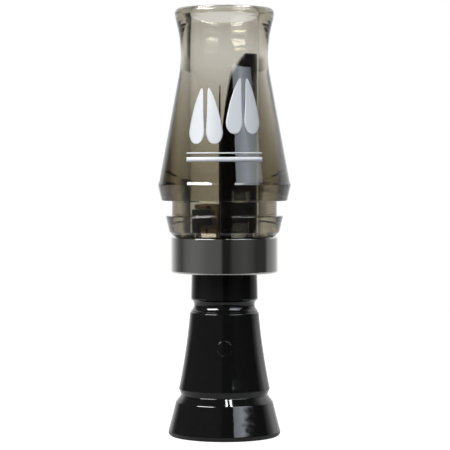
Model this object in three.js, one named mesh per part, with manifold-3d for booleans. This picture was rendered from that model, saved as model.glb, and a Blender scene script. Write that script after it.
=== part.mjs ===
// A deer grunt call of the barrel-and-insert kind, standing on its bell with the mouth end up.
// Millimetres. +Z runs along the bore towards the mouth end, and the tone board lies on the +X side.
import * as THREE from 'three';
import { mergeVertices } from 'three/addons/utils/BufferGeometryUtils.js';
import Module from 'manifold-3d';

const wasm = await Module();
wasm.setup();

// ---------------------------------------------------------------- driving dimensions

const TURN_SEGMENTS = 48; // facets round each turned piece
const FIT_GAP = 0.3; // clearance between pieces that touch on the real call
const SEAL_GAP = 0.15; // clearance round the O-rings, which the real call squeezes

const ROD_RADIUS = 9.42; // the 3/4 inch rod that the tone board is cut from
const BORE_RADIUS = 9.9; // barrel bore, a sliding fit over that rod

const barrel = {
  top: 122.95,
  bottom: 47.3,
  mouthRound: 1.2, // inner edge of the mouth
  lipRadius: 14.27,
  lipRound: 1.5,
  flareArc: 37, // arc between neck and lip
  neckRadius: 12.57,
  neckHeight: 109.4,
  bellyTaper: THREE.MathUtils.degToRad(10.6),
  coneFootRadius: 18.77,
  coneFootHeight: 73.3,
  bellyRadius: 19.15, // turned from stock a little over 1.5 inches across
  bellyHeight: 72.25,
  shoulderRadius: 18.08,
  grooveTop: 67.7,
  grooveBottom: 63.4,
  grooveRadius: 15.12,
  flangeRadius: 16.9,
  flangeFootRadius: 15.84,
  flangeFoot: 58.8,
  flangeBottomRadius: 14.8,
  spigotTop: 57.65,
  spigotRadius: 14.1, // the band is pushed over this
  socketTop: 57.2,
  socketRadius: 12.9, // the insert's sealed collar goes in here
};

const band = {
  top: 57.5,
  bottom: 47,
  outerRadius: 15.4,
  innerRadius: 14.3,
  topChamfer: 0.4,
  footRound: 0.7,
};

const insert = {
  baseOuterRadius: 15.42,
  baseInnerRadius: 13.6,
  rimRadius: 16.14,
  rimHeight: 1.2,
  bellTopRadius: 14.15,
  bellTop: 9.4,
  lowerCove: {
    bottom: 10.2,
    bottomRadius: 13.9,
    floor: 11.8,
    floorRadius: 12.5,
    top: 13.5,
    topRadius: 13.16,
  },
  upperCove: {
    bottom: 35.5,
    bottomRadius: 9.94,
    step: 36,
    stepRadius: 9.4,
    floor: 37.6,
    floorRadius: 8.72,
    top: 40,
  },
  bodyFlare: 1.28, // how much more the body widens towards the bell than a plain cone
  neckBottomRadius: 9.62,
  neckTopRadius: 9.42,
  collarBottom: 47.6,
  collarTop: 56.9,
  collarRadius: 12.6,
  grooveFloorRadius: 11.2,
  grooveWidth: 2.5,
  boreRadius: 4.5,
  hornTop: 36, // where the straight bore starts to open into the bell
  seatHeight: 49.6, // floor of the socket that holds the tone board
};

const oRing = { heights: [50.4, 54.1], width: 1.9 };

const toneBoard = {
  foot: insert.seatHeight + FIT_GAP,
  rodTop: 65.3, // above this only the half-round board goes on
  tip: 109.6,
  flatX: -1, // the flat that the reed lies on
  channelHalfWidth: 3.2,
  channelFloorX: 3.4,
  channelTop: 97.5,
  airHoleRadius: 3.4,
  notchFloor: 55.6,
  notchX: -6.6,
  lipX: -3.6, // the lip over the mouth of the notch
  lipHeight: 62.3,
};

// The face curves away from the reed towards the tip: [height, x].
const FACE_CURVE = [
  [80, -1],
  [84.1, -0.9],
  [92, 0],
  [98.8, 1],
  [102.3, 1.7],
  [104.6, 2.8],
  [108, 4.5],
  [109.6, 5.5],
];

const reed = { foot: 56.8, tip: 99.5, thickness: 0.35, halfWidth: 4.6, gap: 0.15, tipSteps: 8 };

const wedge = { foot: 56, top: 66.8, bulgeBottom: 65.6, bulgeX: -7.6, gap: 0.2, halfWidth: 5.4 };

// ---------------------------------------------------------------- helpers

const smoke = new THREE.MeshStandardMaterial({
  color: 0x8d8776,
  roughness: 0.05,
  transparent: true,
  opacity: 0.5,
});
const black = new THREE.MeshStandardMaterial({ color: 0x141414, roughness: 0.2 });
const steel = new THREE.MeshStandardMaterial({ color: 0xa9aaa8, roughness: 0.15, metalness: 1 });
const rubber = new THREE.MeshStandardMaterial({ color: 0x0c0c0c, roughness: 0.7 });
const cork = new THREE.MeshStandardMaterial({ color: 0x8a6238, roughness: 0.9 });
const film = new THREE.MeshStandardMaterial({ color: 0xd9d6c6, roughness: 0.3 });

/** Points on an arc about (radius, height), from one angle to another in degrees, 0 being outwards. */
function arc(centreRadius, centreHeight, size, from, to, steps) {
  const points = [];
  for (let i = 0; i <= steps; i += 1) {
    const angle = THREE.MathUtils.degToRad(from + ((to - from) * i) / steps);
    points.push([centreRadius + size * Math.cos(angle), centreHeight + size * Math.sin(angle)]);
  }
  return points;
}

/** A solid turned about +Z from a closed outline of [radius, height] points, listed anticlockwise. */
function turned(outline) {
  const points = [...outline, outline[0]].map(([radius, height]) => new THREE.Vector2(radius, height));
  return new THREE.LatheGeometry(points, TURN_SEGMENTS).rotateX(Math.PI / 2);
}

/** A plate with its outline in [x, z], centred on y = 0. */
function plateAcross(outline, halfWidth) {
  const shape = new THREE.Shape(outline.map(([x, z]) => new THREE.Vector2(x, z)));
  const plate = new THREE.ExtrudeGeometry(shape, { depth: 2 * halfWidth, bevelEnabled: false });
  return plate.rotateX(Math.PI / 2).translate(0, halfWidth, 0);
}

function toSolid(geometry) {
  const bare = geometry.clone();
  bare.deleteAttribute('normal');
  bare.deleteAttribute('uv');
  const merged = mergeVertices(bare, 1e-4);
  const vertProperties = new Float32Array(merged.attributes.position.array);
  const triVerts = new Uint32Array(merged.index.array);
  return new wasm.Manifold(new wasm.Mesh({ numProp: 3, vertProperties, triVerts }));
}

function toGeometry(solid) {
  const mesh = solid.getMesh();
  const geometry = new THREE.BufferGeometry();
  geometry.setAttribute('position', new THREE.BufferAttribute(mesh.vertProperties, 3));
  geometry.setIndex(new THREE.BufferAttribute(mesh.triVerts, 1));
  geometry.computeVertexNormals();
  return geometry;
}

function named(name, geometry, material) {
  const mesh = new THREE.Mesh(geometry, material);
  mesh.name = name;
  return mesh;
}

// ---------------------------------------------------------------- barrel and band

function barrelOutline() {
  const b = barrel;
  const neckSide = 180;
  const taperDegrees = THREE.MathUtils.radToDeg(b.bellyTaper);
  const coneAtNeck = b.coneFootRadius - (b.neckHeight - b.coneFootHeight) * Math.tan(b.bellyTaper);
  const cosTaper = Math.cos(b.bellyTaper);
  const neckArc = ((b.neckRadius - coneAtNeck) * cosTaper) / (1 - cosTaper);
  const lipCentre = b.top - b.lipRound;
  const flareEnd = THREE.MathUtils.radToDeg(Math.asin((lipCentre - b.neckHeight) / b.flareArc));
  const flare = arc(b.neckRadius + b.flareArc, b.neckHeight, b.flareArc, neckSide, neckSide - flareEnd, 6);
  return [
    [b.socketRadius, b.bottom],
    [b.spigotRadius, b.bottom],
    [b.spigotRadius, b.spigotTop],
    [b.flangeBottomRadius, b.spigotTop],
    [b.flangeFootRadius, b.flangeFoot],
    [b.flangeRadius, b.grooveBottom],
    [b.grooveRadius, b.grooveBottom],
    [b.grooveRadius, b.grooveTop],
    [b.shoulderRadius, b.grooveTop],
    [b.bellyRadius, b.bellyHeight],
    [b.coneFootRadius, b.coneFootHeight],
    ...arc(b.neckRadius + neckArc, b.neckHeight, neckArc, neckSide + taperDegrees, neckSide, 4),
    ...flare.slice(1, -1),
    ...arc(b.lipRadius - b.lipRound, lipCentre, b.lipRound, 0, 90, 4),
    ...arc(BORE_RADIUS + b.mouthRound, b.top - b.mouthRound, b.mouthRound, 90, 180, 3),
    [BORE_RADIUS, b.socketTop],
    [b.socketRadius, b.socketTop],
  ];
}

function bandOutline() {
  const b = band;
  return [
    [b.innerRadius, b.bottom],
    ...arc(b.outerRadius - b.footRound, b.bottom + b.footRound, b.footRound, -90, 0, 3),
    [b.outerRadius, b.top - b.topChamfer],
    [b.outerRadius - b.topChamfer, b.top],
    [b.innerRadius, b.top],
  ];
}

// ---------------------------------------------------------------- insert and its O-rings

/** The body between the two coves, a cone that swells towards the bell. */
function bodyRadius(height) {
  const { upperCove, lowerCove, bodyFlare } = insert;
  const along = (upperCove.bottom - height) / (upperCove.bottom - lowerCove.top);
  const cone = upperCove.bottomRadius + (lowerCove.topRadius - upperCove.bottomRadius) * along;
  return cone - bodyFlare * along * (1 - along);
}

/** The horn inside the bell: wide at the base, easing into the straight bore. */
function hornRadius(height) {
  const along = 1 - height / insert.hornTop;
  return insert.boreRadius + (insert.baseInnerRadius - insert.boreRadius) * along ** 1.35;
}

function insertOutline() {
  const n = insert;
  const { lowerCove, upperCove } = n;
  const bodySteps = 5;
  const body = [];
  for (let i = 0; i <= bodySteps; i += 1) {
    const height = lowerCove.top + ((upperCove.bottom - lowerCove.top) * i) / bodySteps;
    body.push([bodyRadius(height), height]);
  }
  const grooves = oRing.heights.flatMap((height) => [
    [n.collarRadius, height - n.grooveWidth / 2],
    [n.grooveFloorRadius, height - n.grooveWidth / 2],
    [n.grooveFloorRadius, height + n.grooveWidth / 2],
    [n.collarRadius, height + n.grooveWidth / 2],
  ]);
  const hornSteps = 6;
  const horn = [];
  for (let i = 0; i < hornSteps; i += 1) {
    const height = n.hornTop * (1 - i / hornSteps);
    horn.push([hornRadius(height), height]);
  }
  return [
    [n.baseInnerRadius, 0],
    [n.baseOuterRadius, 0],
    [n.rimRadius, n.rimHeight],
    [n.bellTopRadius, n.bellTop],
    [lowerCove.bottomRadius, lowerCove.bottom],
    [lowerCove.floorRadius, lowerCove.floor],
    ...body,
    [upperCove.stepRadius, upperCove.step],
    [upperCove.floorRadius, upperCove.floor],
    [n.neckBottomRadius, upperCove.top],
    [n.neckTopRadius, n.collarBottom],
    [n.collarRadius, n.collarBottom],
    ...grooves,
    [n.collarRadius, n.collarTop],
    [ROD_RADIUS + FIT_GAP, n.collarTop],
    [ROD_RADIUS + FIT_GAP, n.seatHeight],
    [n.boreRadius, n.seatHeight],
    ...horn,
  ];
}

/** An O-ring as it sits squeezed in its groove: flattened at the seal, rounded above and below. */
function oRingOutline(height) {
  const inner = insert.grooveFloorRadius + SEAL_GAP;
  const outer = barrel.socketRadius - SEAL_GAP;
  const halfThick = (outer - inner) / 2;
  const points = [];
  const sides = 10;
  for (let i = 0; i < sides; i += 1) {
    const angle = (2 * Math.PI * i) / sides;
    points.push([
      inner + halfThick + halfThick * Math.cos(angle),
      height + (oRing.width / 2) * Math.sin(angle),
    ]);
  }
  return points;
}

// ---------------------------------------------------------------- tone board, reed and wedge

/** What is milled off the rod on the reed's side, from the flat up along the curved face. */
function faceCut() {
  const beyond = ROD_RADIUS + 1;
  const above = toneBoard.tip + 1;
  const [tipHeight, tipX] = FACE_CURVE[FACE_CURVE.length - 1];
  const outline = [
    [-beyond, toneBoard.rodTop],
    [toneBoard.flatX, toneBoard.rodTop],
    ...FACE_CURVE.map(([height, x]) => [x, height]),
    [tipX + (above - tipHeight), above],
    [-beyond, above],
  ];
  return plateAcross(outline, beyond);
}

/** The slot across the rod that holds reed and wedge, with a lip over its mouth. */
function notchCut() {
  const t = toneBoard;
  const outline = [
    [t.notchX, t.notchFloor],
    [t.flatX, t.notchFloor],
    [t.flatX, t.rodTop + 1],
    [t.lipX, t.rodTop + 1],
    [t.lipX, t.lipHeight],
    [t.notchX, t.lipHeight],
  ];
  return plateAcross(outline, ROD_RADIUS + 1);
}

/** The air channel down the middle of the board, with a round upper end. */
function channelCut() {
  const t = toneBoard;
  const width = t.channelHalfWidth;
  const shape = new THREE.Shape();
  shape.moveTo(-width, t.notchFloor - 1);
  shape.lineTo(width, t.notchFloor - 1);
  shape.lineTo(width, t.channelTop - width);
  shape.absarc(0, t.channelTop - width, width, 0, Math.PI);
  shape.closePath();
  const depth = t.channelFloorX - t.flatX + 1;
  const cut = new THREE.ExtrudeGeometry(shape, { depth, bevelEnabled: false, curveSegments: 6 });
  // Extruded along Z with the outline in X and Y: stand it up, and turn its depth to +X.
  return cut.rotateX(Math.PI / 2).rotateZ(Math.PI / 2).translate(t.flatX - 1, 0, 0);
}

function toneBoardGeometry() {
  const t = toneBoard;
  const rod = turned([[0, t.foot], [ROD_RADIUS, t.foot], [ROD_RADIUS, t.tip], [0, t.tip]]);
  const holeFoot = t.foot - 1;
  const holeTop = t.notchFloor + 1;
  const hole = turned([
    [0, holeFoot],
    [t.airHoleRadius, holeFoot],
    [t.airHoleRadius, holeTop],
    [0, holeTop],
  ]);
  const solid = toSolid(rod)
    .subtract(toSolid(faceCut()))
    .subtract(toSolid(notchCut()))
    .subtract(toSolid(channelCut()))
    .subtract(toSolid(hole));
  return toGeometry(solid);
}

const reedBack = toneBoard.flatX - reed.gap; // the side that faces the board
const reedFront = reedBack - reed.thickness; // the side that the wedge presses

/** A flat strip with a rounded tip. */
function reedGeometry() {
  const r = reed;
  const shape = new THREE.Shape();
  shape.moveTo(-r.halfWidth, r.foot);
  shape.lineTo(r.halfWidth, r.foot);
  shape.lineTo(r.halfWidth, r.tip - r.halfWidth);
  shape.absarc(0, r.tip - r.halfWidth, r.halfWidth, 0, Math.PI);
  shape.closePath();
  const options = { depth: r.thickness, bevelEnabled: false, curveSegments: r.tipSteps };
  const strip = new THREE.ExtrudeGeometry(shape, options);
  return strip.rotateX(Math.PI / 2).rotateZ(Math.PI / 2).translate(reedFront, 0, 0);
}

/** The cork fills the notch, passes the lip and bulges a little above the rod's end. */
function wedgeGeometry() {
  const w = wedge;
  const t = toneBoard;
  const onReed = reedFront - w.gap;
  const outline = [
    [t.notchX + w.gap, w.foot],
    [onReed, w.foot],
    [onReed, w.top],
    [w.bulgeX, w.top],
    [w.bulgeX, w.bulgeBottom],
    [t.lipX + w.gap, w.bulgeBottom],
    [t.lipX + w.gap, t.lipHeight - w.gap],
    [t.notchX + w.gap, t.lipHeight - w.gap],
  ];
  return plateAcross(outline, w.halfWidth);
}

// ---------------------------------------------------------------- assembly

const call = new THREE.Group();
call.add(named('barrel', turned(barrelOutline()), smoke));
call.add(named('band', turned(bandOutline()), steel));
call.add(named('insert', turned(insertOutline()), black));
call.add(named('tone_board', toneBoardGeometry(), black));
call.add(named('reed', reedGeometry(), film));
call.add(named('cork_wedge', wedgeGeometry(), cork));
call.add(named('o_ring_lower', turned(oRingOutline(oRing.heights[0])), rubber));
call.add(named('o_ring_upper', turned(oRingOutline(oRing.heights[1])), rubber));

export default call;
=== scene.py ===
"""A deer grunt call with a clear smoke barrel, standing on its bell, in a plain pale studio."""

import math

import bmesh
import bpy
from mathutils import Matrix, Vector, noise


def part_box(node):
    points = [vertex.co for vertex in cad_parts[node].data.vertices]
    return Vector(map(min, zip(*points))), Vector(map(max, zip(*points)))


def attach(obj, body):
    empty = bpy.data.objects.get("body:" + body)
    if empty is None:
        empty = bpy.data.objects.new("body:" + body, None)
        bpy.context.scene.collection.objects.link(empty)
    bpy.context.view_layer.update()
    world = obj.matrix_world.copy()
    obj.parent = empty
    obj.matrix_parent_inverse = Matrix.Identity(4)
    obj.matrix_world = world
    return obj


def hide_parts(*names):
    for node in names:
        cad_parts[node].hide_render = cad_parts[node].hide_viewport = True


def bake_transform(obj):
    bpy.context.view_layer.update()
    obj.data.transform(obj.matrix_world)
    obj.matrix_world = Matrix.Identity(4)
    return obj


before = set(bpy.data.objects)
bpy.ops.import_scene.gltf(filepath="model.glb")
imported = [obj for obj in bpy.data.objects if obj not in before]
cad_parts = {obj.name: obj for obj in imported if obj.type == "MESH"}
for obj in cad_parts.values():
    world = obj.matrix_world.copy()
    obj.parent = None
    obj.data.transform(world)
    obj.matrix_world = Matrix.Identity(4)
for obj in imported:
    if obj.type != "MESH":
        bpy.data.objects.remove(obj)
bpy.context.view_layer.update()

MM = 0.001
TURN_SEGMENTS = 256  # facets round each turned piece
SUPPORT = 0.08  # mm from a rounded corner to the loop that keeps its shading off the face beside it

# ------------------------------------------------------------------ sizes, in millimetres

ROD_RADIUS = 9.42
BORE_RADIUS = 9.9
BARREL_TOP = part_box("barrel")[1].z / MM
BARREL_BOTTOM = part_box("barrel")[0].z / MM
BAND_BOTTOM, BAND_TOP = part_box("band")[0].z / MM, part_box("band")[1].z / MM
NECK_RADIUS, NECK_HEIGHT = 12.57, 109.4
BELLY_RADIUS, BELLY_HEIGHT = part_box("barrel")[1].x / MM, 72.35
BELLY_TAPER = math.radians(10.6)
CONE_FOOT_RADIUS, CONE_FOOT_HEIGHT = 18.82, 73.08
FLARE_ARC, FLARE_TOP = 37.0, 119.8
LIP_RADIUS, LIP_ROUND, MOUTH_ROUND = 14.27, 1.5, 1.9
SPIGOT_TOP = 57.65
SOCKET_RADIUS, SOCKET_TOP = 12.9, 57.2
TIP_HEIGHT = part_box("tone_board")[1].z / MM
BOARD_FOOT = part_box("tone_board")[0].z / MM
FLAT_X = -1.0
ROD_TOP = 65.3
NOTCH_FLOOR, NOTCH_X, LIP_X, LIP_HEIGHT = 55.6, -6.6, -3.6, 62.3
CHANNEL_HALF, CHANNEL_X, CHANNEL_TOP = 3.2, 3.4, 97.5
AIR_HOLE_RADIUS = 3.4
BODY_TOP, BODY_TOP_RADIUS = 35.45, 9.94  # the insert's body, under its upper cove
HORN_TOP, EXHAUST_RADIUS = 36, 4.5  # where the insert's straight bore starts to open
RULE_REACH = 11.4  # how far the printed rule runs round the barrel, each way
LIGHT_AIM = 0.06  # metres up the axis, where the lights point


# ------------------------------------------------------------------ shapes


def arc(centre_r, centre_z, size, start, end, steps):
    """Points (radius, height) on an arc, from one angle to another in degrees, 0 being outwards."""
    angles = [math.radians(start + (end - start) * i / steps) for i in range(steps + 1)]
    return [(centre_r + size * math.cos(a), centre_z + size * math.sin(a)) for a in angles]


def rounded(outline, steps=5):
    """A closed outline of (radius, height, corner) points, with each corner rounded to its third value."""
    points = []
    count = len(outline)
    for i, (r, z, *corner) in enumerate(outline):
        here = Vector((r, z))
        if not corner or corner[0] == 0:
            points.append(here)
            continue
        before = Vector(outline[i - 1][:2]) - here
        after = Vector(outline[(i + 1) % count][:2]) - here
        half = before.angle(after) / 2
        reach = min(corner[0] / math.tan(half), 0.49 * before.length, 0.49 * after.length)
        size = reach * math.tan(half)
        centre = here + (before.normalized() + after.normalized()).normalized() * (size / math.sin(half))
        first = here + before.normalized() * reach - centre
        last = here + after.normalized() * reach - centre
        sweep = first.angle_signed(last)
        for k in range(steps + 1):
            turn = -sweep * k / steps
            points.append(centre + spun(first, turn))
    return points


def spun(v, angle):
    c, s = math.cos(angle), math.sin(angle)
    return Vector((c * v.x - s * v.y, s * v.x + c * v.y))


def supported(points):
    """Extra points near the ends of each long straight stretch, so smooth shading stays in the corners."""
    result = []
    for i, here in enumerate(points):
        following = points[(i + 1) % len(points)]
        result.append(here)
        step = following - here
        if step.length > 6 * SUPPORT:
            result.append(here + step.normalized() * SUPPORT)
            result.append(following - step.normalized() * SUPPORT)
    return result


def mesh_object(name, bm):
    """A piece from a bmesh in millimetres, smooth shaded, in metres."""
    bmesh.ops.scale(bm, vec=(MM, MM, MM), verts=bm.verts)
    bmesh.ops.recalc_face_normals(bm, faces=bm.faces)
    mesh = bpy.data.meshes.new(name)
    bm.to_mesh(mesh)
    bm.free()
    mesh.shade_smooth()
    piece = bpy.data.objects.new(name, mesh)
    bpy.context.scene.collection.objects.link(piece)
    return piece


def turned(name, outline, segments=TURN_SEGMENTS):
    """A piece turned about +Z from a closed outline of (radius, height, corner) points."""
    points = supported(rounded(outline))
    bm = bmesh.new()
    rings = []
    for i in range(segments):
        angle = 2 * math.pi * i / segments
        c, s = math.cos(angle), math.sin(angle)
        rings.append([bm.verts.new((p.x * c, p.x * s, p.y)) for p in points])
    for i in range(segments):
        ring, following = rings[i], rings[(i + 1) % segments]
        for k in range(len(points)):
            m = (k + 1) % len(points)
            if points[k].x > 0 or points[m].x > 0:
                bm.faces.new((ring[k], following[k], following[m], ring[m]))
    loose = [v for v in bm.verts if not v.link_faces]
    bmesh.ops.delete(bm, geom=loose, context="VERTS")
    bmesh.ops.remove_doubles(bm, verts=bm.verts, dist=1e-5)
    return mesh_object(name, bm)


def cone_radius(z):
    return CONE_FOOT_RADIUS - (z - CONE_FOOT_HEIGHT) * math.tan(BELLY_TAPER)


def barrel_outline():
    cone_at_neck = cone_radius(NECK_HEIGHT)
    cos_taper = math.cos(BELLY_TAPER)
    neck_arc = (NECK_RADIUS - cone_at_neck) * cos_taper / (1 - cos_taper)
    lip_z = BARREL_TOP - LIP_ROUND
    flare_end = math.degrees(math.asin((FLARE_TOP - NECK_HEIGHT) / FLARE_ARC))
    flare = arc(NECK_RADIUS + FLARE_ARC, NECK_HEIGHT, FLARE_ARC, 180, 180 - flare_end, 18)
    neck = arc(NECK_RADIUS + neck_arc, NECK_HEIGHT, neck_arc, 180 + math.degrees(BELLY_TAPER), 180, 14)
    lip = arc(LIP_RADIUS - LIP_ROUND, lip_z, LIP_ROUND, 0, 90, 10)
    mouth = arc(BORE_RADIUS + MOUTH_ROUND, BARREL_TOP - MOUTH_ROUND, MOUTH_ROUND, 90, 180, 8)
    return [
        (SOCKET_RADIUS, BARREL_BOTTOM, 0.3),
        (14.1, BARREL_BOTTOM, 0.2),
        (14.1, SPIGOT_TOP, 0.1),
        (14.8, SPIGOT_TOP, 0.15),
        (15.84, 58.8, 0.4),
        (16.9, 63.4, 0.25),
        (15.12, 63.4, 0.3),
        (15.12, 67.7, 0.3),
        (18.08, 67.7, 0.4),
        (BELLY_RADIUS, BELLY_HEIGHT, 0.5),
        (CONE_FOOT_RADIUS, CONE_FOOT_HEIGHT, 2.5),
        *neck,
        *flare[1:],
        *lip,
        *mouth,
        (BORE_RADIUS, SOCKET_TOP, 0),
        (SOCKET_RADIUS, SOCKET_TOP, 0.2),
    ]


def band_outline():
    outer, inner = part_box("band")[1].x / MM, 14.3
    return [
        (inner, BAND_BOTTOM, 0.1),
        (outer, BAND_BOTTOM, 0.7),
        (outer, BAND_TOP - 0.4, 0.08),
        (outer - 0.4, BAND_TOP, 0.08),
        (inner, BAND_TOP, 0.1),
    ]


def body_radius(z):
    """The insert's body between its two coves, widening towards the bell."""
    below = BODY_TOP - z
    return BODY_TOP_RADIUS + 0.089 * below + 0.00268 * below * below


def horn_radius(z):
    """The horn inside the bell, easing from the wide base into the straight bore."""
    return EXHAUST_RADIUS + 9.1 * (1 - z / HORN_TOP) ** 1.35


def insert_outline():
    body = [(body_radius(13.6 + 21.8 * i / 24), 13.6 + 21.8 * i / 24) for i in range(25)]
    cove = arc(10.72, 37.75, 2.0, 235, 125, 12)
    grooves = []
    for ring in ("o_ring_lower", "o_ring_upper"):
        low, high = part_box(ring)
        middle = (low.z + high.z) / 2 / MM
        grooves += [
            (12.6, middle - 1.25, 0.15),
            (11.2, middle - 1.25, 0.2),
            (11.2, middle + 1.25, 0.2),
            (12.6, middle + 1.25, 0.15),
        ]
    horn = [(horn_radius(HORN_TOP - 1.5 * i), HORN_TOP - 1.5 * i) for i in range(24)]
    return [
        (13.6, 0, 0.5),
        (16.48, 0, 1.2),
        (14.06, 9.75, 0.8),
        (12.46, 11.85, 0.3),
        (13.16, 13.55, 0.25),
        *[(r, z, 0) for r, z in body[1:-1]],
        (body_radius(35.5), 35.5, 0.35),
        (9.45, 36.0, 0.1),
        *[(r, z, 0) for r, z in cove],
        (9.62, 39.75, 0.3),
        (9.42, 47.6, 0.2),
        (12.6, 47.6, 0.3),
        *grooves,
        (12.6, 56.9, 0.3),
        (9.72, 56.9, 0.2),
        (9.72, 49.6, 0.1),
        (EXHAUST_RADIUS, 49.6, 0.3),
        *[(r, z, 0) for r, z in horn],
    ]


def o_ring_outline(name):
    """A squeezed O-ring's section: an oval between groove floor and socket wall."""
    low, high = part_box(name)
    outer = high.x / MM
    inner = 11.35
    middle = (low.z + high.z) / 2 / MM
    across, tall = (outer - inner) / 2, (high.z - low.z) / 2 / MM
    angles = [2 * math.pi * i / 24 for i in range(24)]
    return [(inner + across + across * math.cos(a), middle + tall * math.sin(a), 0) for a in angles]


# The face curves away from the reed towards the tip: (height, x).
FACE_CURVE = [
    (72, -1),
    (80, -1),
    (84.1, -0.9),
    (92, 0),
    (98.8, 1),
    (102.3, 1.7),
    (104.6, 2.8),
    (108, 4.5),
    (109.6, 5.5),
    (111.2, 6.6),
]


def face_x(z):
    """The face's x at a height, on a smooth curve through FACE_CURVE."""
    if z <= FACE_CURVE[1][0]:
        return FLAT_X
    for i in range(1, len(FACE_CURVE) - 2):
        z1, x1 = FACE_CURVE[i]
        z2, x2 = FACE_CURVE[i + 1]
        if z <= z2:
            break
    z0, x0 = FACE_CURVE[i - 1]
    z3, x3 = FACE_CURVE[i + 2]
    slope1, slope2 = (x2 - x0) / (z2 - z0), (x3 - x1) / (z3 - z1)
    span = z2 - z1
    t = (z - z1) / span
    start = (2 * t**3 - 3 * t**2 + 1) * x1 + (t**3 - 2 * t**2 + t) * span * slope1
    return start + (3 * t**2 - 2 * t**3) * x2 + (t**3 - t**2) * span * slope2


def prism(name, outline, low, high, axis):
    """A straight prism: its outline is (x, z) when it runs along Y, or (y, z) when it runs along X."""
    bm = bmesh.new()
    ends = []
    for at in (low, high):
        corners = [(a, at, b) if axis == "Y" else (at, a, b) for a, b in outline]
        ends.append([bm.verts.new(c) for c in corners])
    bm.faces.new(ends[0])
    bm.faces.new(list(reversed(ends[1])))
    count = len(outline)
    for i in range(count):
        k = (i + 1) % count
        bm.faces.new((ends[0][i], ends[0][k], ends[1][k], ends[1][i]))
    return mesh_object(name, bm)


def applied(piece):
    """The piece with its modifiers applied to its mesh."""
    evaluated = piece.evaluated_get(bpy.context.evaluated_depsgraph_get())
    mesh = bpy.data.meshes.new_from_object(evaluated)
    piece.modifiers.clear()
    old = piece.data
    piece.data = mesh
    bpy.data.meshes.remove(old)
    return piece


def carved(piece, cutters):
    """The piece with each cutter's volume taken away."""
    for cutter in cutters:
        cut = piece.modifiers.new("cut", "BOOLEAN")
        cut.object = cutter
        cut.operation = "DIFFERENCE"
        cut.solver = "EXACT"
    bpy.context.view_layer.update()
    applied(piece)
    for cutter in cutters:
        bpy.data.objects.remove(cutter)
    return piece


def eased(piece, width, smooth_angle=35):
    """The piece with its sharp edges rounded, and shaded smooth except across true edges."""
    bevel = piece.modifiers.new("ease", "BEVEL")
    bevel.width = width * MM
    bevel.segments = 2
    bevel.limit_method = "ANGLE"
    bevel.angle_limit = math.radians(28)
    bpy.context.view_layer.update()
    applied(piece)
    piece.data.shade_smooth()
    piece.data.set_sharp_from_angle(angle=math.radians(smooth_angle))
    return piece


def column(radius, low, high):
    """The outline of a solid round column."""
    return [(0, low), (radius, low), (radius, high), (0, high)]


def make_tone_board():
    beyond = ROD_RADIUS + 1
    above = TIP_HEIGHT + 1
    rod = turned("tone_board_carved", column(ROD_RADIUS, BOARD_FOOT, TIP_HEIGHT), 128)
    heights = [80 + (above - 80) * i / 30 for i in range(31)]
    face = prism(
        "face_cut",
        [(-beyond, ROD_TOP), (FLAT_X, ROD_TOP), *[(face_x(z), z) for z in heights], (-beyond, above)],
        -beyond,
        beyond,
        "Y",
    )
    notch = prism(
        "notch_cut",
        [
            (NOTCH_X, NOTCH_FLOOR),
            (FLAT_X, NOTCH_FLOOR),
            (FLAT_X, ROD_TOP + 1),
            (LIP_X, ROD_TOP + 1),
            (LIP_X, LIP_HEIGHT),
            (NOTCH_X, LIP_HEIGHT),
        ],
        -beyond,
        beyond,
        "Y",
    )
    end = arc(0, CHANNEL_TOP - CHANNEL_HALF, CHANNEL_HALF, 0, 180, 16)
    channel = prism(
        "channel_cut",
        [(-CHANNEL_HALF, NOTCH_FLOOR - 1), (CHANNEL_HALF, NOTCH_FLOOR - 1), *end],
        FLAT_X - 1,
        CHANNEL_X,
        "X",
    )
    hole = turned("hole_cut", column(AIR_HOLE_RADIUS, BOARD_FOOT - 1, NOTCH_FLOOR + 1), 48)
    return eased(carved(rod, [face, notch, channel, hole]), 0.18)


def make_reed():
    """A thin strip with a rounded tip, in rows along its length."""
    low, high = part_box("reed")
    front, back = low.x / MM, high.x / MM
    foot, tip, half = low.z / MM, high.z / MM, high.y / MM
    straight = [foot + (tip - half - foot) * i / 40 for i in range(41)]
    round_end = [tip - half + half * math.sin(math.pi / 2 * i / 16) for i in range(1, 17)]
    bm = bmesh.new()
    rows = []
    for z in straight + round_end:
        over = max(0.0, z - (tip - half))
        reach = max(0.12, math.sqrt(max(0.0, half * half - over * over)))
        across = [-reach + 2 * reach * k / 8 for k in range(9)]
        row = [bm.verts.new((front, y, z)) for y in across]
        row += [bm.verts.new((back, y, z)) for y in reversed(across)]
        rows.append(row)
    for row, following in zip(rows, rows[1:]):
        for k in range(len(row)):
            m = (k + 1) % len(row)
            bm.faces.new((row[k], row[m], following[m], following[k]))
    for row in (rows[0], rows[-1]):
        for k in range(8):
            bm.faces.new((row[k], row[k + 1], row[16 - k], row[17 - k]))
    reed = mesh_object("reed_film", bm)
    reed.data.set_sharp_from_angle(angle=math.radians(40))
    return reed


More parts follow.
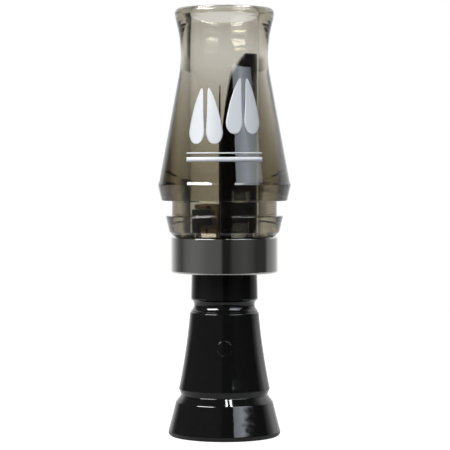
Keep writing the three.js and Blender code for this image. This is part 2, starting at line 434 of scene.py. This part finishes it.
def make_wedge():
    """The cork wedge: the notch's shape, remeshed and roughened into grainy cork."""
    low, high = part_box("cork_wedge")
    left, right, foot, top, half = low.x / MM, high.x / MM, low.z / MM, high.z / MM, high.y / MM
    bulge = 65.45
    outline = [
        (NOTCH_X + 0.2, foot, 0.3),
        (right, foot, 0.3),
        (right, top, 0.4),
        (left, top, 0.3),
        (left, bulge, 0.15),
        (LIP_X + 0.2, bulge, 0.15),
        (LIP_X + 0.2, LIP_HEIGHT - 0.2, 0.15),
        (NOTCH_X + 0.2, LIP_HEIGHT - 0.2, 0.4),
    ]
    wedge = prism("cork_wedge_grain", rounded(outline), -half + 0.1, half - 0.1, "Y")
    remesh = wedge.modifiers.new("remesh", "REMESH")
    remesh.mode = "VOXEL"
    remesh.voxel_size = 0.00013
    bpy.context.view_layer.update()
    applied(wedge)
    outward = [v.normal.copy() for v in wedge.data.vertices]
    for v, normal in zip(wedge.data.vertices, outward):
        p = v.co / MM
        grain = noise.noise(p * 1.6) * 0.08 + noise.noise(p * 4.0) * 0.05
        pit = min(0.0, noise.noise(p * 2.3 + Vector((9, 4, 2))) + 0.25) * 0.35
        v.co += normal * (grain + pit - 0.05) * MM
    wedge.data.shade_smooth()
    return wedge


def cone_point(across, z, lift):
    """A point on the barrel's cone: across is the distance round it from its front line, in mm."""
    radius = cone_radius(z)
    angle = -math.pi / 2 + across / radius
    out = radius + lift
    return (out * math.cos(angle), out * math.sin(angle), z)


def ink_patch(bm, left, right, low, high, rows, columns):
    """Adds a thin closed patch of ink to bm. left and right give its edges at a height."""
    lifts = (0.012, 0.045)
    grids = []
    for lift in lifts:
        grid = []
        for i in range(rows + 1):
            z = low + (high - low) * i / rows
            start, end = left(z), right(z)
            across = [start + (end - start) * k / columns for k in range(columns + 1)]
            grid.append([bm.verts.new(cone_point(u, z, lift)) for u in across])
        grids.append(grid)
    inner, outer = grids
    for i in range(rows):
        for k in range(columns):
            bm.faces.new((outer[i][k], outer[i][k + 1], outer[i + 1][k + 1], outer[i + 1][k]))
            bm.faces.new((inner[i][k], inner[i + 1][k], inner[i + 1][k + 1], inner[i][k + 1]))
        bm.faces.new((inner[i][0], outer[i][0], outer[i + 1][0], inner[i + 1][0]))
        bm.faces.new((inner[i][-1], inner[i + 1][-1], outer[i + 1][-1], outer[i][-1]))
    for k in range(columns):
        bm.faces.new((inner[0][k], inner[0][k + 1], outer[0][k + 1], outer[0][k]))
        bm.faces.new((inner[-1][k], outer[-1][k], outer[-1][k + 1], inner[-1][k + 1]))


def make_print():
    """A plain white print: two deer tracks over a double rule."""
    bm = bmesh.new()
    for centre, heel, toe in ((-5.5, 83.8, 99.6), (5.5, 86.6, 102.4)):
        for side in (-1, 1):
            add_claw(bm, centre, side, heel, toe)
    for low, high in ((78.9, 80.2), (81.1, 81.5)):
        add_rule(bm, low, high)
    bmesh.ops.remove_doubles(bm, verts=bm.verts, dist=1e-4)
    return mesh_object("barrel_print", bm)


def add_claw(bm, centre, side, low, high):
    """One half of a cloven track: round at the heel, curving in to a point at the toe."""
    tall = high - low

    def middle(z):
        t = (z - low) / tall
        return centre + side * (2.7 - 1.7 * t**2.2)

    def half(z):
        t = (z - low) / tall
        heel = math.sqrt(max(0.0, 1 - (1 - min(t, 0.22) / 0.22) ** 2))
        toe = (1 - min(1.0, max(0.0, t - 0.22) / 0.78)) ** 0.62
        return 0.04 + 2.4 * heel * toe

    ink_patch(bm, lambda z: middle(z) - half(z), lambda z: middle(z) + half(z), low, high, 48, 10)


def add_rule(bm, low, high):
    """A bar round the barrel's front."""
    ink_patch(bm, lambda z: -RULE_REACH, lambda z: RULE_REACH, low, high, 2, 64)


def ring_groove(radius, height, across, depth):
    """A thin ring lying in the front of the insert's body, to be cut away as a shallow groove."""
    bm = bmesh.new()
    rings = []
    for i in range(72):
        t = 2 * math.pi * i / 72
        ring = []
        for k in range(10):
            a = 2 * math.pi * k / 10
            out = radius + across / 2 * math.cos(a)
            x, z = out * math.cos(t), height + out * math.sin(t)
            lift = depth * math.sin(a)
            ring.append(bm.verts.new((x, -math.sqrt(body_radius(z) ** 2 - x * x) - lift, z)))
        rings.append(ring)
    for i in range(72):
        for k in range(10):
            m = (k + 1) % 10
            bm.faces.new((rings[i][k], rings[i][m], rings[(i + 1) % 72][m], rings[(i + 1) % 72][k]))
    return mesh_object("groove_cut", bm)


# ------------------------------------------------------------------ materials


def new_material(name):
    material = bpy.data.materials.new(name)
    material.use_nodes = True
    return material, material.node_tree, material.node_tree.nodes["Principled BSDF"]


def add(tree, kind, sockets=None, **settings):
    """A node with its settings and input sockets filled, by value or by a link."""
    made = tree.nodes.new(kind)
    for key, value in settings.items():
        setattr(made, key, value)
    for key, value in (sockets or {}).items():
        if isinstance(value, bpy.types.NodeSocket):
            tree.links.new(value, made.inputs[key])
        else:
            made.inputs[key].default_value = value
    return made


def grain(tree, scale, detail=3.0, stretch=(1, 1, 1)):
    """Noise from 0 to 1 through the piece, with scale in cycles per metre."""
    where = add(tree, "ShaderNodeTexCoord").outputs["Object"]
    mapped = add(tree, "ShaderNodeMapping", {"Vector": where, "Scale": stretch})
    sockets = {"Vector": mapped.outputs["Vector"], "Scale": scale, "Detail": detail}
    return add(tree, "ShaderNodeTexNoise", sockets).outputs["Fac"]


def between(tree, factor, low, high, start=0.3, end=0.7):
    """A value that goes from low to high as the factor goes from start to end."""
    sockets = {"Value": factor, "From Min": start, "From Max": end, "To Min": low, "To Max": high}
    return add(tree, "ShaderNodeMapRange", sockets).outputs["Result"]


def tinted(tree, factor, first, second):
    """A colour that goes from first to second as the factor goes from 0 to 1."""
    made = add(tree, "ShaderNodeMix", data_type="RGBA")
    tree.links.new(factor, made.inputs["Factor"])
    made.inputs["A"].default_value = (*first, 1)
    made.inputs["B"].default_value = (*second, 1)
    return made.outputs["Result"]


def bumped(tree, shader, factor, depth, strength=1.0):
    """Raises the surface by up to depth metres where the factor is high."""
    sockets = {"Height": factor, "Distance": depth, "Strength": strength}
    bump = add(tree, "ShaderNodeBump", sockets)
    tree.links.new(bump.outputs["Normal"], shader.inputs["Normal"])


def smoke_plastic():
    """Clear smoke polycarbonate: it absorbs light along its thickness, blue the most."""
    material, tree, shader = new_material("smoke_plastic")
    haze = grain(tree, 260)
    colour = tinted(tree, haze, (1, 1, 1), (0.97, 0.97, 0.96))
    tree.links.new(colour, shader.inputs["Base Color"])
    tree.links.new(between(tree, haze, 0.0, 0.008), shader.inputs["Roughness"])
    shader.inputs["IOR"].default_value = 1.586
    shader.inputs["Transmission Weight"].default_value = 1
    depth = add(tree, "ShaderNodeVolumeAbsorption", {"Density": 150, "Color": (0.413, 0.36, 0.207, 1)})
    tree.links.new(depth.outputs["Volume"], tree.nodes["Material Output"].inputs["Volume"])
    return material


def polished_metal():
    material, tree, shader = new_material("polished_metal")
    turning = grain(tree, 400, 2, (1, 1, 30))
    colour = tinted(tree, turning, (0.66, 0.665, 0.63), (0.58, 0.585, 0.555))
    tree.links.new(colour, shader.inputs["Base Color"])
    tree.links.new(between(tree, turning, 0.05, 0.09), shader.inputs["Roughness"])
    shader.inputs["Metallic"].default_value = 1
    bumped(tree, shader, turning, 0.000002)
    return material


def black_plastic(name, shade, smooth, rough, waves):
    """Black plastic of a shade of grey, from smooth to rough, with low waves that many metres high."""
    material, tree, shader = new_material(name)
    mottle = grain(tree, 700)
    colour = tinted(tree, mottle, (shade,) * 3, (shade * 1.4,) * 3)
    tree.links.new(colour, shader.inputs["Base Color"])
    tree.links.new(between(tree, mottle, smooth, rough), shader.inputs["Roughness"])
    shader.inputs["IOR"].default_value = 1.53
    bumped(tree, shader, grain(tree, 320, 1), waves)
    return material


def reed_film():
    material, tree, shader = new_material("reed_film")
    streak = grain(tree, 500, 3, (1, 1, 0.2))
    colour = tinted(tree, streak, (0.035, 0.034, 0.03), (0.06, 0.056, 0.05))
    tree.links.new(colour, shader.inputs["Base Color"])
    tree.links.new(between(tree, streak, 0.22, 0.34), shader.inputs["Roughness"])
    return material


def cork():
    material, tree, shader = new_material("cork")
    cells = add(tree, "ShaderNodeTexVoronoi", {"Scale": 1100})
    where = add(tree, "ShaderNodeTexCoord").outputs["Object"]
    tree.links.new(where, cells.inputs["Vector"])
    body = tinted(tree, cells.outputs["Distance"], (0.28, 0.18, 0.07), (0.36, 0.24, 0.1))
    specks = between(tree, grain(tree, 900, 5), 0, 1, 0.54, 0.66)
    mixed = add(tree, "ShaderNodeMix", {"Factor": specks}, data_type="RGBA")
    tree.links.new(body, mixed.inputs["A"])
    mixed.inputs["B"].default_value = (0.09, 0.055, 0.025, 1)
    tree.links.new(mixed.outputs["Result"], shader.inputs["Base Color"])
    tree.links.new(between(tree, specks, 0.8, 0.95, 0, 1), shader.inputs["Roughness"])
    bumped(tree, shader, cells.outputs["Distance"], 0.0001)
    return material


def rubber():
    material, tree, shader = new_material("rubber")
    bloom = grain(tree, 900)
    colour = tinted(tree, bloom, (0.012, 0.012, 0.012), (0.025, 0.025, 0.024))
    tree.links.new(colour, shader.inputs["Base Color"])
    tree.links.new(between(tree, bloom, 0.4, 0.6), shader.inputs["Roughness"])
    bumped(tree, shader, bloom, 0.00002)
    return material


def white_ink():
    material, tree, shader = new_material("white_ink")
    cover = grain(tree, 1500)
    colour = tinted(tree, cover, (0.4, 0.415, 0.43), (0.37, 0.385, 0.4))
    tree.links.new(colour, shader.inputs["Base Color"])
    tree.links.new(between(tree, cover, 0.35, 0.5), shader.inputs["Roughness"])
    bumped(tree, shader, cover, 0.000008)
    return material


def glowing_pale_floor():
    material, tree, shader = new_material("glowing_pale_floor")
    paper = grain(tree, 40, 4)
    colour = tinted(tree, paper, (0.155,) * 3, (0.165,) * 3)
    tree.links.new(colour, shader.inputs["Base Color"])
    tree.links.new(between(tree, paper, 0.7, 0.8), shader.inputs["Roughness"])
    shader.inputs["Specular IOR Level"].default_value = 0
    # Painted light: the floor glows though it is no lamp. To light that reaches the object it glows
    # brightest behind the object and dims towards its sides and front; to the camera it glows evenly.
    shader.inputs["Emission Color"].default_value = (1, 1, 1, 1)
    where = add(tree, "ShaderNodeTexCoord").outputs["Object"]
    parts = add(tree, "ShaderNodeSeparateXYZ", {"Vector": where}).outputs
    aside = add(tree, "ShaderNodeMath", {0: parts["X"]}, operation="ABSOLUTE").outputs[0]
    turn = add(tree, "ShaderNodeMath", {0: aside, 1: parts["Y"]}, operation="ARCTAN2").outputs[0]
    glow = between(tree, turn, 0.66, 0.1, math.radians(22), math.radians(75))
    seen = add(tree, "ShaderNodeLightPath").outputs["Is Camera Ray"]
    glow = add(tree, "ShaderNodeMix", {"Factor": seen, "A": glow, "B": 0.93}).outputs["Result"]
    tree.links.new(glow, shader.inputs["Emission Strength"])
    return material


# ------------------------------------------------------------------ the studio


def make_floor():
    """A wide level table that begins just in front of the object and runs into the pale background."""
    bm = bmesh.new()
    front, reach = -60, 480
    turn = math.asin(-front / reach)
    angles = [-turn + (math.pi + 2 * turn) * i / 64 for i in range(65)]
    bm.faces.new([bm.verts.new((reach * math.cos(a), reach * math.sin(a), 0)) for a in angles])
    floor = mesh_object("floor", bm)
    floor.data.materials.append(glowing_pale_floor())
    return floor


def toward(azimuth, elevation):
    """The direction at an azimuth from the front, positive to the right, and an elevation, in degrees."""
    a, e = math.radians(azimuth), math.radians(elevation)
    return Vector((math.sin(a) * math.cos(e), -math.cos(a) * math.cos(e), math.sin(e)))


def softbox(name, azimuth, elevation, distance, width, height, radiance, upright=False):
    """A rectangular light that faces the object, or stands upright facing the bore's axis."""
    lamp = bpy.data.lights.new(name, "AREA")
    lamp.shape = "RECTANGLE"
    lamp.size, lamp.size_y = width, height
    lamp.energy = radiance * math.pi * width * height
    light = bpy.data.objects.new(name, lamp)
    bpy.context.scene.collection.objects.link(light)
    direction = toward(azimuth, elevation)
    light.location = Vector((0, 0, LIGHT_AIM)) + direction * distance
    facing = toward(azimuth, 0) if upright else direction
    light.rotation_euler = facing.to_track_quat("Z", "Y").to_euler()
    light.visible_camera = False
    return light


def graded(light, stops):
    """Lets a light's brightness vary from its left edge, 0, to its right edge, 1."""
    light.data.use_nodes = True
    tree = light.data.node_tree
    across = add(tree, "ShaderNodeNewGeometry").outputs["Parametric"]
    along = add(tree, "ShaderNodeSeparateXYZ", {"Vector": across}).outputs["X"]
    level = add(tree, "ShaderNodeValToRGB", {"Fac": along})
    elements = level.color_ramp.elements
    while len(elements) < len(stops):
        elements.new(0.5)
    for element, (place, value) in zip(elements, stops):
        element.position = place
        element.color = (value, value, value, 1)
    tree.links.new(level.outputs["Color"], tree.nodes["Emission"].inputs["Color"])


def ring_of_light(tree, turn, stops):
    """Grey levels round the horizon, given as (azimuth from the front in degrees, level)."""
    ramp = add(tree, "ShaderNodeValToRGB", {"Fac": turn})
    elements = ramp.color_ramp.elements
    while len(elements) < len(stops):
        elements.new(0.5)
    for element, (azimuth, level) in zip(elements, stops):
        element.position = 0.5 + azimuth / 360
        element.color = (level, level, level, 1)
    return ramp.outputs["Color"]


def blended(tree, factor, first, second):
    """A colour that goes from first to second, each a colour or a socket."""
    made = add(tree, "ShaderNodeMix", {"Factor": factor, "A": first, "B": second}, data_type="RGBA")
    return made.outputs["Result"]


def light_room():
    """White behind the object and dim in front, while the background itself stays pale."""
    world = bpy.data.worlds.new("studio")
    world.use_nodes = True
    bpy.context.scene.world = world
    tree = world.node_tree
    where = add(tree, "ShaderNodeTexCoord").outputs["Generated"]
    parts = add(tree, "ShaderNodeSeparateXYZ", {"Vector": where}).outputs
    ahead = add(tree, "ShaderNodeMath", {0: parts["Y"], 1: -1.0}, operation="MULTIPLY").outputs[0]
    angle = add(tree, "ShaderNodeMath", {0: parts["X"], 1: ahead}, operation="ARCTAN2").outputs[0]
    turn = between(tree, angle, 0, 1, -math.pi, math.pi)
    # Level with the object and below it.
    level_stops = [
        (-160, 1.0),
        (-141, 0.54),
        (-121, 0.17),
        (-112, 0.1),
        (-104, 0.08),
        (-90, 0.15),
        (-72, 0.185),
        (-55, 0.17),
        (-38, 0.13),
        (-8, 0.11),
        (-3, 0.02),
        (10, 0.02),
        (20, 0.065),
        (45, 0.085),
        (60, 0.07),
        (72, 0.04),
        (98, 0.04),
        (107, 0.2),
        (122, 0.3),
        (143, 0.52),
        (160, 0.92),
    ]
    # Just above the level.
    raised_stops = [
        (-146, 1.0),
        (-134, 0.25),
        (-124, 0.06),
        (-100, 0.1),
        (-10, 0.1),
        (-3, 0.02),
        (27, 0.02),
        (35, 0.06),
        (98, 0.04),
        (112, 0.4),
        (126, 1.0),
    ]
    level = ring_of_light(tree, turn, level_stops)
    raised = ring_of_light(tree, turn, raised_stops)
    room = blended(tree, between(tree, parts["Z"], 0, 1, -0.03, 0.05), level, raised)
    room = blended(tree, between(tree, parts["Z"], 0, 1, 0.6, 0.85), room, (0.05, 0.05, 0.05, 1))
    path = add(tree, "ShaderNodeLightPath").outputs
    # What shows straight through both walls of the barrel is pale on every side of the room:
    # such light crosses four surfaces, and any bounce on its way takes nine off that count.
    bounces = {0: path["Diffuse Depth"], 1: path["Glossy Depth"]}
    bounced = add(tree, "ShaderNodeMath", bounces, operation="ADD").outputs[0]
    count = {0: bounced, 1: -9.0, 2: path["Transmission Depth"]}
    crossed = add(tree, "ShaderNodeMath", count, operation="MULTIPLY_ADD").outputs[0]
    through = add(tree, "ShaderNodeMath", {0: crossed, 1: 3.5}, operation="GREATER_THAN").outputs[0]
    room = blended(tree, through, room, (1, 1, 1, 1))
    room = blended(tree, path["Is Camera Ray"], room, (1, 1, 1, 1))
    tree.links.new(room, tree.nodes["Background"].inputs["Color"])


def place_camera():
    data = bpy.data.cameras.new("camera")
    data.lens = 156.4
    data.sensor_width = 36
    data.clip_start = 0.05
    data.clip_end = 20
    camera = bpy.data.objects.new("camera", data)
    bpy.context.scene.collection.objects.link(camera)
    camera.location = (0.00017, -0.563, 0.0777)
    aim = Vector((0.00017, 0, 0.0607)) - camera.location
    camera.rotation_euler = aim.to_track_quat("-Z", "Y").to_euler()
    bpy.context.scene.camera = camera


# ------------------------------------------------------------------ the build


def dressed(piece, material, node=None):
    """Gives the piece its material and slot, and hides the CAD node that it takes the place of."""
    piece.data.materials.clear()
    piece.data.materials.append(material)
    if node:
        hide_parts(node)
    return piece


black = black_plastic("black_plastic", shade=0.0024, smooth=0.05, rough=0.09, waves=0.00003)
smoke = smoke_plastic()

barrel = dressed(turned("barrel_clear", barrel_outline()), smoke, "barrel")
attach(barrel, "barrel")
band = dressed(turned("band_polished", band_outline()), polished_metal(), "band")
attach(band, "barrel")
tracks = dressed(make_print(), white_ink())
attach(tracks, "barrel")

mark = ring_groove(radius=2.1, height=26.1, across=0.3, depth=0.1)
insert = carved(turned("insert_turned", insert_outline()), [mark])
insert.data.shade_smooth()
insert.data.set_sharp_from_angle(angle=math.radians(35))
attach(dressed(insert, black, "insert"), "insert")
board_black = black_plastic("black_board", shade=0.01, smooth=0.15, rough=0.25, waves=0.000006)
board = dressed(make_tone_board(), board_black, "tone_board")
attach(board, "insert")
wedge = dressed(make_wedge(), cork(), "cork_wedge")
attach(wedge, "insert")

o_ring_rubber = rubber()
for ring in ("o_ring_lower", "o_ring_upper"):
    rounded_ring = turned(ring + "_round", o_ring_outline(ring), 128)
    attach(dressed(rounded_ring, o_ring_rubber, ring), "seals")

reed = dressed(make_reed(), reed_film(), "reed")
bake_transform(reed)

make_floor()
light_room()
# Each softbox has its azimuth and elevation, its distance, width and height in metres, and its radiance.
right = softbox("right_softbox", 47, 35.1, 2.494, 2.0, 1.67, 4.8, upright=True)
right.data.color = (0.92, 1.0, 1.1)
graded(right, [(0, 0.6), (0.2, 0.75), (0.42, 1.0), (0.66, 0.66), (1, 0.3)])
softbox("right_softbox_top", 47, 46.5, 1.447, 0.95, 0.2, 9, upright=True)
softbox("left_softbox", -52, 38, 1.2, 0.85, 0.42, 24)
for side in (-1, 1):
    softbox("overhead_strip", side * 134, 67, 1.2, 0.4, 0.36, 22)
softbox("spark_left", 9.8, 65.5, 1.2, 0.075, 0.1, 30)
softbox("spark_right", 28.2, 64.2, 1.2, 0.075, 0.1, 30)
place_camera()
bpy.context.scene.view_settings.view_transform = "Standard"
